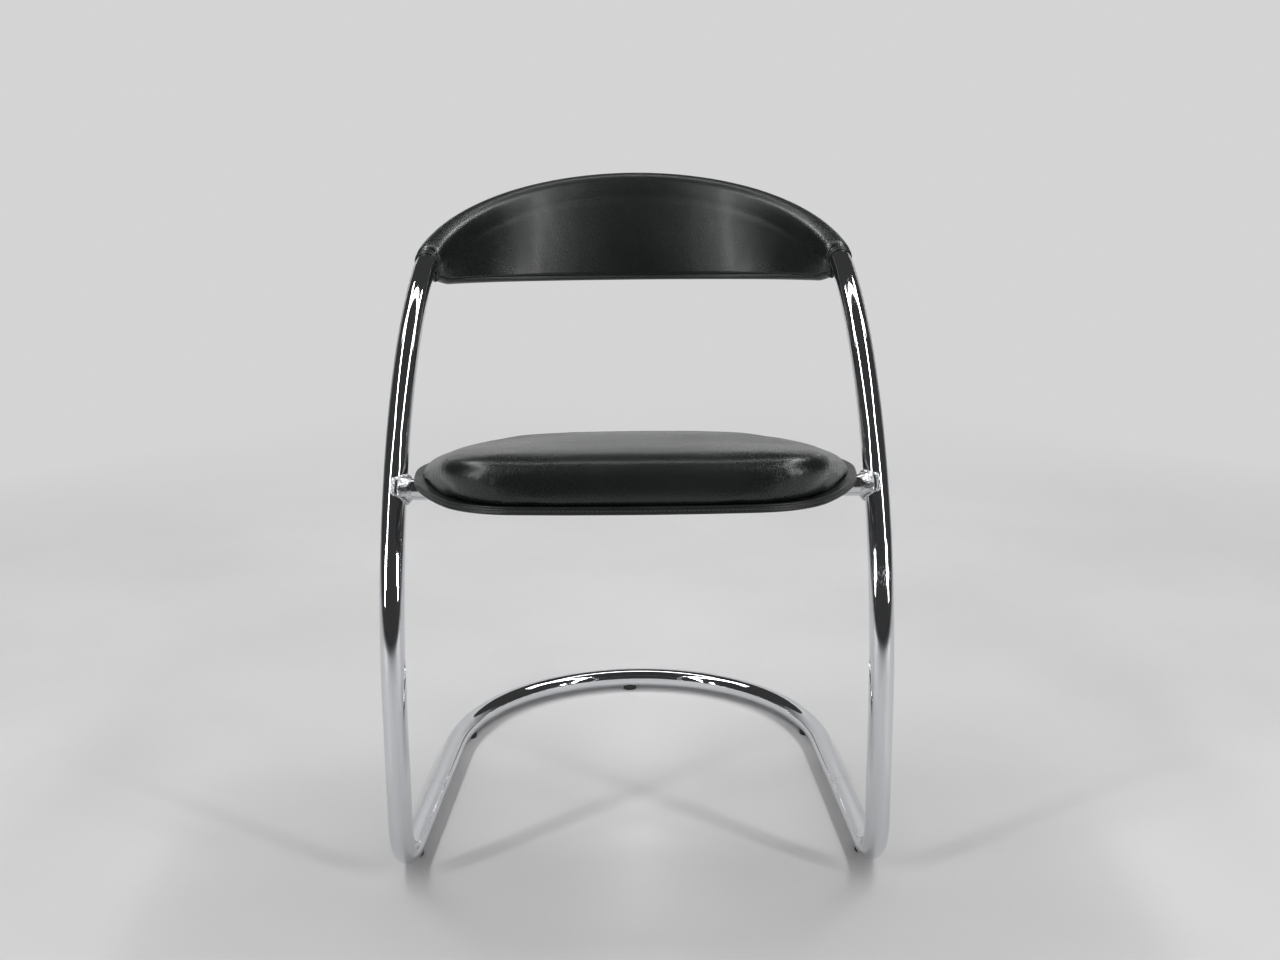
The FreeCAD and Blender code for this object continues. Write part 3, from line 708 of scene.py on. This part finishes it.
def foam_stuff(name, tint):
    """Open-celled upholstery foam and wadding, with painted shade darkening the pores."""
    finish = Finish(name, roughness=0.9)
    holes = finish.cells(700.0)
    pale = tuple(min(1.0, channel * 1.25) for channel in tint)
    # painted shade: the foam is darker towards the middle of each pore, where the bump is lowest
    finish.feed("Base Color", finish.tint(finish.between(holes, 0.1, 0.6), tint, pale))
    finish.bump(holes, 0.6, 0.0008)
    return finish.material


def lining_cloth(name, tint):
    """Black woven lining with a plain weave."""
    finish = Finish(name)
    pitch = 2 * math.pi / (0.9 * MM)
    warp = (finish.axis("X") * pitch).sine()
    weft = (finish.axis("Y") * pitch).sine()
    weave = warp * weft * 0.5 + 0.5
    slubs = finish.noise(1.0, 3.0, 0.6, finish.stretched(900.0, 40.0, 1.0))
    pale = tuple(channel * 2.0 + 0.01 for channel in tint)
    share = weave * 0.5 + finish.between(slubs, 0.5, 0.8, 0.0, 0.4)
    finish.feed("Base Color", finish.tint(share, tint, pale))
    finish.feed("Roughness", finish.between(slubs, 0.3, 0.7, 0.75, 0.9))
    finish.bump(weave + slubs * 0.3, 0.5, 0.0004)
    return finish.material


def studio_paint(name, tint):
    """Matt painted floor and backdrop with a very faint mottle, evenly pale away from the chair."""
    finish = Finish(name, ior=1.3)
    mottle = finish.noise(2.2, 4.0, 0.5)
    fine = finish.noise(60.0, 3.0)
    dim = tuple(channel * 0.94 for channel in tint)
    finish.feed("Base Color", finish.tint(finish.between(mottle, 0.35, 0.65), dim, tint))
    finish.feed("Roughness", finish.between(fine, 0.3, 0.7, 0.62, 0.75))
    away = finish.node("ShaderNodeVectorMath", {"operation": "LENGTH"}, {0: finish.place}, "Value")
    seen = finish.node("ShaderNodeLightPath", output="Is Camera Ray")
    plain = finish.node("ShaderNodeEmission", None, {"Color": (*tint, 1.0)})
    near, clear = 1.3, 2.4
    far = finish.between(away, near, clear) * seen
    lit = Wire(finish, finish.shader.outputs[0])
    mixed = finish.node("ShaderNodeMixShader", None, {0: far, 1: lit, 2: plain})
    finish.links.new(mixed.socket, finish.nodes["Material Output"].inputs["Surface"])
    return finish.material


# Properties

class ChairSizes(bpy.types.PropertyGroup):
    """Sizes of what is sewn and padded."""
    leather_thickness: bpy.props.FloatProperty(
        name="Leather thickness", description="Thickness of the hides on the back",
        default=1.6 * MM, min=0.5 * MM, unit="LENGTH")
    seat_swell: bpy.props.FloatProperty(
        name="Seat swell", description="Furthest that the seat leather moves when it is padded out",
        default=1.2 * MM, min=0.0, unit="LENGTH")
    seat_pressure: bpy.props.FloatProperty(
        name="Seat pressure", description="Pressure of the padding under the seat leather",
        default=3.0, min=0.0)
    seat_voxel: bpy.props.FloatProperty(
        name="Seat mesh size", description="Size of the seat leather's faces before they are divided",
        default=4.6 * MM, min=3 * MM, unit="LENGTH")
    back_crown: bpy.props.FloatProperty(
        name="Back crown", description="How far the padding swells the face of the back",
        default=2.6 * MM, min=0.0, unit="LENGTH")
    stitch_spacing: bpy.props.FloatProperty(
        name="Stitch spacing", description="Distance from one stitch to the next",
        default=4.2 * MM, min=1 * MM, unit="LENGTH")
    stitch_length: bpy.props.FloatProperty(
        name="Stitch length", description="Visible length of one stitch",
        default=3.3 * MM, min=0.5 * MM, unit="LENGTH")
    thread_width: bpy.props.FloatProperty(
        name="Thread width", description="Thickness of the sewing thread",
        default=0.9 * MM, min=0.2 * MM, unit="LENGTH")


def colour_property(name, description, default):
    return bpy.props.FloatVectorProperty(
        name=name, description=description, default=default, min=0.0, max=1.0, subtype="COLOR")


class ChairLooks(bpy.types.PropertyGroup):
    """Colours of the finishes."""
    chrome: colour_property("Chrome", "Colour of the plated tube", (0.70, 0.71, 0.73))
    leather: colour_property("Leather", "Dye of the hides", (0.0085, 0.0105, 0.0100))
    thread: colour_property("Thread", "Colour of the sewing thread", (0.030, 0.031, 0.031))
    plastic: colour_property("Glides", "Colour of the moulded glides", (0.016, 0.016, 0.017))
    steel: colour_property("Steel", "Colour of bare and plated steel", (0.46, 0.46, 0.45))
    paint: colour_property("Plates", "Colour of the painted carrier plates", (0.020, 0.020, 0.021))
    lining: colour_property("Lining", "Colour of the cloth under the seat", (0.014, 0.014, 0.015))
    floor: colour_property("Floor", "Colour of the floor and the backdrop", (0.66, 0.66, 0.665))


class ChairStudio(bpy.types.PropertyGroup):
    """Camera and lamps."""
    camera_height: bpy.props.FloatProperty(
        name="Camera height", description="Height of the lens above the floor", default=0.724, unit="LENGTH")
    camera_distance: bpy.props.FloatProperty(
        name="Camera distance", description="From the lens to the front of the legs",
        default=1.3275, unit="LENGTH")
    camera_fall: bpy.props.FloatProperty(
        name="Camera fall", description="How far the camera looks down",
        default=math.radians(12.6), subtype="ANGLE")
    camera_roll: bpy.props.FloatProperty(
        name="Camera roll", description="How far the camera leans to its right",
        default=0.010, subtype="ANGLE")
    focal_length: bpy.props.FloatProperty(
        name="Focal length", description="Lens on a 36 mm wide sensor, in millimetres",
        default=39.375, min=10.0)
    lamp_power: bpy.props.FloatProperty(
        name="Lamp power", description="Power of each front lamp", default=21.0, min=0.0, unit="POWER")
    fill_strength: bpy.props.FloatProperty(
        name="Fill", description="Strength of the light from all round", default=0.045, min=0.0)


def named(name):
    """A finish that an earlier operator made."""
    material = bpy.data.materials.get(name)
    if material is None:
        raise RuntimeError(f"the finish {name} is made by the frame finishes, which come first")
    return material


# Operators

class CHAIR_OT_finishes(bpy.types.Operator):
    """Make every finish and put it on the solids that stay in sight"""
    bl_idname = "chair.finishes"
    bl_label = "Finishes"

    def execute(self, context):
        look = looks()
        hide = tuple(look.leather)
        leg = leg_centre(SCUFF_HEIGHT)
        scuff = (leg.x, leg.y - TUBE_RADIUS, SCUFF_HEIGHT)
        made = {
            "frame_chrome": chrome("tube_chrome", tuple(look.chrome), 0.03, scuff),
            "weld_chrome": weld_metal("weld_chrome_finish", tuple(look.chrome)),
            "inner_steel": bare_metal("drawn_steel", tuple(look.steel), 0.30, 0.45),
            "glide_plastic": moulded("glide_black", tuple(look.plastic)),
            "fastener_steel": bare_metal("zinc_plate", tuple(look.steel), 0.22, 0.38),
            "plate_paint": plate_paint("plate_powder_coat", tuple(look.paint)),
            "board_wood": plywood("beech_plywood", (0.50, 0.34, 0.19), (0.36, 0.22, 0.11)),
            "padding": foam_stuff("upholstery_foam", (0.62, 0.58, 0.44)),
            "lining_cloth": lining_cloth("lining_weave", tuple(look.lining)),
            "black_leather": leather("seat_back_hide", hide),
            "edge_leather": cut_leather("hem_hide", hide),
        }
        thread("sewing_thread", tuple(look.thread))
        slots = {part["node"]: part["material_slot"] for part in frame["record"]["subparts"]}
        for node, piece in frame["nodes"].items():
            finish = made[slots[node]]
            for slot in piece.material_slots:
                slot.material = finish
            if not piece.material_slots:
                piece.data.materials.append(finish)
        return {"FINISHED"}


class CHAIR_OT_seat_leather(bpy.types.Operator):
    """Pad out the seat leather over its foam"""
    bl_idname = "chair.seat_leather"
    bl_label = "Seat leather"

    def execute(self, context):
        sizes = context.scene.chair_sizes
        # How far each level is drawn in at front, sides and rear in mm, and its share of the pad's height
        levels = smooth_levels([
            (4.6, 6.2, 6.2, -0.04), (2.3, 9.5, 7.0, 0.12), (1.6, 13.5, 9.5, 0.30), (2.6, 25.0, 13.5, 0.50),
            (5.0, 36.0, 20.0, 0.68), (9.9, 43.0, 31.0, 0.82), (17.4, 54.5, 48.0, 0.91),
            (34.4, 83.5, 76.0, 0.955), (75.0, 120.0, 112.0, 0.98)], 3)
        rings = []
        spacing = 4 * MM

        def height(y, share):
            fall = (y - SEAT_FRONT) / SEAT_DEPTH
            return PAD_BASE + (PAD_FRONT_HEIGHT + (PAD_REAR_HEIGHT - PAD_FRONT_HEIGHT) * fall) * share

        def level_ring(level):
            insets = tuple(inset * MM for inset in level[:3])
            straight = (insets[1] - PAD_STRAIGHT_FROM) / (PAD_STRAIGHT_TO - PAD_STRAIGHT_FROM)
            return seat_ring(insets, spacing, min(max(straight, 0.0), 1.0))

        inner = level_ring(levels[-1])
        for level in levels:
            rings.append([(x, y, height(y, level[3])) for x, y in level_ring(level)])
        for share in (0.75, 0.5, 0.25, 0.0):
            ring = shut_ring(inner, share, 0.0)
            rings.append([(x, y, height(y, 0.98 + 0.010 * (1 - share))) for x, y, _ in ring])
        base = PAD_BASE - 1.6 * MM
        rings.extend(shut_ring(inner, share, base) for share in (0.0, 0.5, 1.0))
        piece = lofted("seat_leather", rings, along=True)
        piece.data.transform(SEAT_FRAME)
        inverse = SEAT_FRAME.inverted()

        def held(point):
            return (inverse @ Vector(point)).z < PAD_BASE + 5 * MM

        swollen(piece, sizes.seat_voxel, sizes.seat_pressure, sizes.seat_swell, held)
        rode(piece, named("seat_back_hide"), ("seat_top_cover", "seat_foam"))
        return {"FINISHED"}


class CHAIR_OT_seat_rim(bpy.types.Operator):
    """Make the stitched band round the seat's lower edge"""
    bl_idname = "chair.seat_rim"
    bl_label = "Seat rim"

    def execute(self, context):
        sizes = context.scene.chair_sizes
        section = [
            (15.0, 7.3), (9.0, 7.35), (5.2, 7.4), (3.4, 7.6), (2.4, 7.8), (1.6, 7.7), (1.1, 7.2),
            (1.2, 6.7), (1.7, 6.3), (1.7, 6.0), (0.9, 5.6), (0.5, 5.1), (0.45, 4.7), (0.8, 4.3),
            (0.8, 3.5), (0.4, 3.1), (0.15, 2.6), (0.1, 2.0), (0.5, 1.2), (1.4, 0.6), (2.8, 0.3),
            (6.0, 0.3), (15.0, 0.3)]
        rings = []
        for inset, height in section:
            rings.append(on_seat((x, y, height * MM) for x, y in seat_ring(inset * MM, 4 * MM)))
        piece = lofted("seat_rim", rings, along=True)
        with_modifier(piece, "SUBSURF", levels=1, render_levels=1)
        smooth(piece)
        rode(piece, named("hem_hide"), ("seat_rim_welt",))
        path = on_seat((x, y, 3.9 * MM) for x, y in seat_ring(0.7 * MM, 4 * MM))
        given = (sizes.stitch_spacing, sizes.stitch_length, sizes.thread_width, sizes.thread_width)
        beads("seat_rim_stitches", [(path, True)], given, named("sewing_thread"))
        return {"FINISHED"}


class CHAIR_OT_seat_lining(bpy.types.Operator):
    """Stretch and staple the lining cloth under the seat board"""
    bl_idname = "chair.seat_lining"
    bl_label = "Seat lining"

    def execute(self, context):
        edge = seat_ring(15.4 * MM, 5 * MM)
        span = len(edge)
        rings = []
        shares = (1.0, 0.985, 0.96, 0.9, 0.8, 0.65, 0.5, 0.35, 0.2, 0.1, 0.0)
        for share in shares:
            rings.append([(x, y, LINING_BASE) for x, y, _ in shut_ring(edge, share, 0.0)])
        for share in reversed(shares):
            rings.append([(x, y, LINING_BASE + 0.9 * MM) for x, y, _ in shut_ring(edge, share, 0.0)])
        piece = lofted("seat_lining", [on_seat(ring) for ring in rings], along=True)
        area = 0.5 * abs(sum(edge[k - 1][0] * edge[k][1] - edge[k][0] * edge[k - 1][1] for k in range(span)))
        rode(piece, named("lining_weave"), ("seat_bottom_cover",))
        width = 2 * max(x for x, _ in edge)
        depth = max(y for _, y in edge) - min(y for _, y in edge)
        row = on_seat((x, y, LINING_BASE - 0.15 * MM) for x, y in seat_ring(24 * MM, 4 * MM))
        beads("lining_staples", [(row, True)], (34 * MM, 9 * MM, 1.1 * MM, 0.7 * MM),
              named("zinc_plate"))
        return {"FINISHED"}


class CHAIR_OT_back_leather(bpy.types.Operator):
    """Wrap the front and rear hides of the back round the hoop"""
    bl_idname = "chair.back_leather"
    bl_label = "Back leather"

    def execute(self, context):
        sizes = context.scene.chair_sizes
        stations = back_stations(3 * MM, sizes.back_crown)
        for name, way, nodes in (
                ("back_front_leather", 1, ("back_front_cover", "back_filling")),
                ("back_rear_leather", -1, ("back_rear_cover", "back_tube_padding"))):
            rings = []
            for station in stations:
                outer = self.profile(station, way, 0.0)
                inner = self.profile(station, way, sizes.leather_thickness)
                rings.append(outer + inner[::-1])
            piece = lofted(name, rings, ends=True)
            self.worn_in(piece)
            rode(piece, named("seat_back_hide"), nodes)
        return {"FINISHED"}

    @staticmethod
    def profile(station, way, depth):
        """One hide across a station, from the seam over the tube down to the lower edge."""
        seam = -52.0 if way > 0 else -54.0
        leave = 90.0 + math.degrees(math.asin(station.taper))
        start, end = (seam, leave) if way > 0 else (seam, -leave)
        tuck = 0.0 if way > 0 else 0.5 * MM
        points = []
        for k in range(22):
            turn = start + (end - start) * k / 22
            points.append(station.round_top(turn, depth + tuck * max(0.0, 1 - k / 6)))
        first = BACK_SLEEVE_RADIUS * station.taper
        for k in range(25):
            reach = first + (station.length - first) * k / 24
            points.append(station.at(reach, station.outer(reach, way, depth)))
        return points

    @staticmethod
    def worn_in(piece):
        """Soft waves where the hide has eased over the padding."""
        for vertex in piece.data.vertices:
            point = vertex.co
            wave = noise.noise(Vector((point.x * 26, point.y * 26, point.z * 14 + 3)))
            wave += 0.5 * noise.noise(Vector((point.x * 60, point.y * 60, point.z * 30 + 9)))
            vertex.co.y += wave * 0.22 * MM
        piece.data.update()


class CHAIR_OT_back_edge(bpy.types.Operator):
    """Sew the lip along the back's lower edge and hem it where the tube goes in"""
    bl_idname = "chair.back_edge"
    bl_label = "Back edge"

    def execute(self, context):
        sizes = context.scene.chair_sizes
        stations = back_stations(3 * MM)
        half = [
            (-0.4, 3.3), (0.1, 3.5), (0.5, 4.1), (1.1, 4.5), (1.9, 4.55), (2.3, 4.2), (2.7, 4.2),
            (3.1, 4.35), (3.9, 3.9), (4.6, 2.7), (4.95, 1.2)]
        section = half + [(reach, -offset) for reach, offset in reversed(half)]
        rings = []
        for station in stations:
            slim = 0.55 + 0.45 * station.shut()
            rings.append([station.at(station.length + a * MM, b * MM * slim) for a, b in section])
        piece = lofted("back_lip", rings, ends=True)
        rode(piece, named("hem_hide"), ("back_lower_lip",))
        row = [station.at(station.length + 2.5 * MM, 4.3 * MM) for station in stations[4:-4]]
        given = (sizes.stitch_spacing, sizes.stitch_length, sizes.thread_width, sizes.thread_width)
        beads("back_lip_stitches", [(row, False)], given, named("sewing_thread"))
        self.hems()
        return {"FINISHED"}

    @staticmethod
    def hems():
        """The rolled hems round the tube at both ends of the back."""
        for side, word in ((1, "right"), (-1, "left")):
            start = hoop_point(BACK_FIRST_ANGLE)
            heading = (hoop_point(BACK_FIRST_ANGLE - 1.0) - start).normalized()
            across = heading.cross(Vector((0, 1, 0))).normalized()
            upright = heading.cross(across)
            section = [
                (0.0, 0.05), (0.0, 1.7), (0.8, 2.3), (1.9, 2.35), (2.6, 1.7), (2.9, 1.0), (3.4, 1.35),
                (4.4, 1.9), (5.4, 1.8), (6.3, 1.3), (6.8, 0.6), (6.9, 0.05)]
            rings = []
            for along, proud in section:
                ring = []
                for k in range(48):
                    turn = 2 * math.pi * k / 48
                    spoke = across * math.cos(turn) + upright * math.sin(turn)
                    point = start + heading * along * MM + spoke * (TUBE_RADIUS + proud * MM)
                    ring.append(Vector((point.x * side, point.y, point.z)))
                rings.append(ring)
            piece = lofted("back_hem_" + word, rings, along=True)
            rode(piece, named("hem_hide"), ("back_cuff_" + word,))


class CHAIR_OT_welds(bpy.types.Operator):
    """Lay the weld ripples where the cross tube meets the legs"""
    bl_idname = "chair.welds"
    bl_label = "Weld ripples"

    def execute(self, context):
        low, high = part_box("seat_cross_tube")
        centre = Vector((0, (low.y + high.y) / 2, (low.z + high.z) / 2))
        for side, word in ((1, "right"), (-1, "left")):
            paths = []
            for outside, back_off in ((1.4 * MM, 2.6 * MM), (3.6 * MM, 1.0 * MM)):
                radius = CROSS_TUBE_RADIUS + outside
                points = []
                for k in range(48):
                    turn = 2 * math.pi * k / 48
                    y = radius * math.cos(turn)
                    leg = leg_centre(centre.z + radius * math.sin(turn))
                    gap = (TUBE_RADIUS + back_off) ** 2 - (centre.y + y - leg.y) ** 2
                    x = leg.x - math.sqrt(max(gap, 0.0))
                    points.append(Vector((side * x, centre.y + y, centre.z + radius * math.sin(turn))))
                paths.append((points, True))
            beads("weld_ripples_" + word, paths, (2.3 * MM, 3.4 * MM, 5.0 * MM, 2.4 * MM),
                  named("weld_chrome_finish"))
        return {"FINISHED"}


def leg_centre(height):
    """The centre of the right leg at a height."""
    angle = math.degrees(math.asin((height - LEG_ARC_START) / LEG_ARC_RADIUS))
    return leg_arc_point(angle)


class CHAIR_OT_studio(bpy.types.Operator):
    """Set up the floor, the backdrop, the lamps and the camera"""
    bl_idname = "chair.studio"
    bl_label = "Studio"

    def execute(self, context):
        studio = context.scene.chair_studio
        scene = context.scene
        scene.view_settings.view_transform = "Standard"
        self.cove()
        self.lamps(studio)
        self.world(studio)
        self.camera(scene, studio)
        return {"FINISHED"}

    @staticmethod
    def cove():
        """A floor that turns up into a wall behind the chair."""
        depth, wall, bend, wide = -9.0, 3.0, 1.2, 12.0
        line = [(depth, 0.0), (0.0, 0.0), (wall - bend, 0.0)]
        line += [(wall - bend + bend * sin(a), bend * (1 - cos(a))) for a in range(6, 91, 6)]
        line.append((wall, 1.9))
        rings = [[Vector((x, y, z)) for x in (-wide, 0.0, wide)] for y, z in line]
        verts = [point for ring in rings for point in ring]
        faces = []
        for i in range(len(rings) - 1):
            for j in range(2):
                faces.append((i * 3 + j, i * 3 + j + 1, i * 3 + j + 4, i * 3 + j + 3))
        piece = new_piece("floor", verts, faces)
        smooth(piece)
        piece.data.materials.append(studio_paint("studio_floor", tuple(looks().floor)))

    @staticmethod
    def lamps(studio):
        """Slim tall lamps in front and at the sides, a wide one overhead and one for the backdrop."""
        chair, wall = Vector((0, 0.1, 0.5)), Vector((0, 2.9, 0.9))
        for name, place, aim, wide, tall, power in (
                ("lamp_left", (-1.9, -1.65, 1.9), chair, 0.14, 2.6, studio.lamp_power * 1.25),
                ("lamp_right", (1.9, -1.65, 1.9), chair, 0.14, 2.6, studio.lamp_power * 1.25),
                ("lamp_side_left", (-2.1, -1.3, 0.7), chair, 0.14, 0.6, studio.lamp_power * 0.3),
                ("lamp_side_right", (2.1, -1.3, 0.7), chair, 0.14, 0.6, studio.lamp_power * 0.3),
                ("lamp_top_left", (-1.5, 0.2, 2.9), chair, 2.8, 0.2, studio.lamp_power * 1.5),
                ("lamp_top_right", (1.5, 0.2, 2.9), chair, 2.8, 0.2, studio.lamp_power * 1.5),
                ("lamp_wall", (0.0, 1.0, 3.2), wall, 5.0, 0.5, studio.lamp_power * 2.3)):
            lamp = bpy.data.lights.new(name, "AREA")
            lamp.shape = "RECTANGLE"
            lamp.size, lamp.size_y = wide, tall
            lamp.energy = power
            piece = bpy.data.objects.new(name, lamp)
            piece.location = place
            piece.rotation_euler = (aim - Vector(place)).to_track_quat("-Z", "Y").to_euler()
            bpy.context.scene.collection.objects.link(piece)

    @staticmethod
    def world(studio):
        world = bpy.data.worlds.new("studio")
        world.use_nodes = True
        nodes, links = world.node_tree.nodes, world.node_tree.links
        fill = nodes["Background"]
        fill.inputs["Color"].default_value = (1.0, 1.0, 1.0, 1.0)
        fill.inputs["Strength"].default_value = studio.fill_strength
        seen = nodes.new("ShaderNodeBackground")
        seen.inputs["Color"].default_value = (*looks().floor, 1.0)
        path, mix = nodes.new("ShaderNodeLightPath"), nodes.new("ShaderNodeMixShader")
        links.new(path.outputs["Is Camera Ray"], mix.inputs[0])
        links.new(fill.outputs[0], mix.inputs[1])
        links.new(seen.outputs[0], mix.inputs[2])
        links.new(mix.outputs[0], nodes["World Output"].inputs["Surface"])
        bpy.context.scene.world = world

    @staticmethod
    def camera(scene, studio):
        lens = bpy.data.cameras.new("camera")
        lens.sensor_width = 36.0
        lens.lens = studio.focal_length
        lens.shift_x = SIDE_SHIFT
        eye = bpy.data.objects.new("camera", lens)
        scene.collection.objects.link(eye)
        eye.location = (0.0, LEGS_Y - studio.camera_distance, studio.camera_height)
        level = Euler((math.pi / 2 - studio.camera_fall, 0, 0)).to_matrix()
        roll = Matrix.Rotation(-studio.camera_roll, 3, "Z")
        eye.rotation_euler = (level @ roll).to_euler()
        scene.camera = eye


OPERATORS = (
    CHAIR_OT_finishes,
    CHAIR_OT_seat_leather,
    CHAIR_OT_seat_rim,
    CHAIR_OT_seat_lining,
    CHAIR_OT_back_leather,
    CHAIR_OT_back_edge,
    CHAIR_OT_welds,
    CHAIR_OT_studio,
)


class CHAIR_PT_sidebar(bpy.types.Panel):
    """The chair's sizes, colours, studio and steps"""
    bl_idname = "CHAIR_PT_sidebar"
    bl_label = "Cantilever chair"
    bl_space_type = "VIEW_3D"
    bl_region_type = "UI"
    bl_category = "Chair"

    def draw(self, context):
        for group in (context.scene.chair_sizes, context.scene.chair_looks, context.scene.chair_studio):
            column = self.layout.column()
            for name in group.bl_rna.properties.keys():
                if name not in ("rna_type", "name"):
                    column.prop(group, name)
        for operator in OPERATORS:
            self.layout.operator(operator.bl_idname)


CLASSES = (ChairSizes, ChairLooks, ChairStudio, *OPERATORS, CHAIR_PT_sidebar)


def register():
    for kind in CLASSES:
        bpy.utils.register_class(kind)
    bpy.types.Scene.chair_sizes = bpy.props.PointerProperty(type=ChairSizes)
    bpy.types.Scene.chair_looks = bpy.props.PointerProperty(type=ChairLooks)
    bpy.types.Scene.chair_studio = bpy.props.PointerProperty(type=ChairStudio)


def unregister():
    for name in ("chair_sizes", "chair_looks", "chair_studio"):
        delattr(bpy.types.Scene, name)
    for kind in reversed(CLASSES):
        bpy.utils.unregister_class(kind)


def main():
    register()
    for operator in OPERATORS:
        family, step = operator.bl_idname.split(".")
        getattr(getattr(bpy.ops, family), step)()


if __name__ == "__main__":
    main()
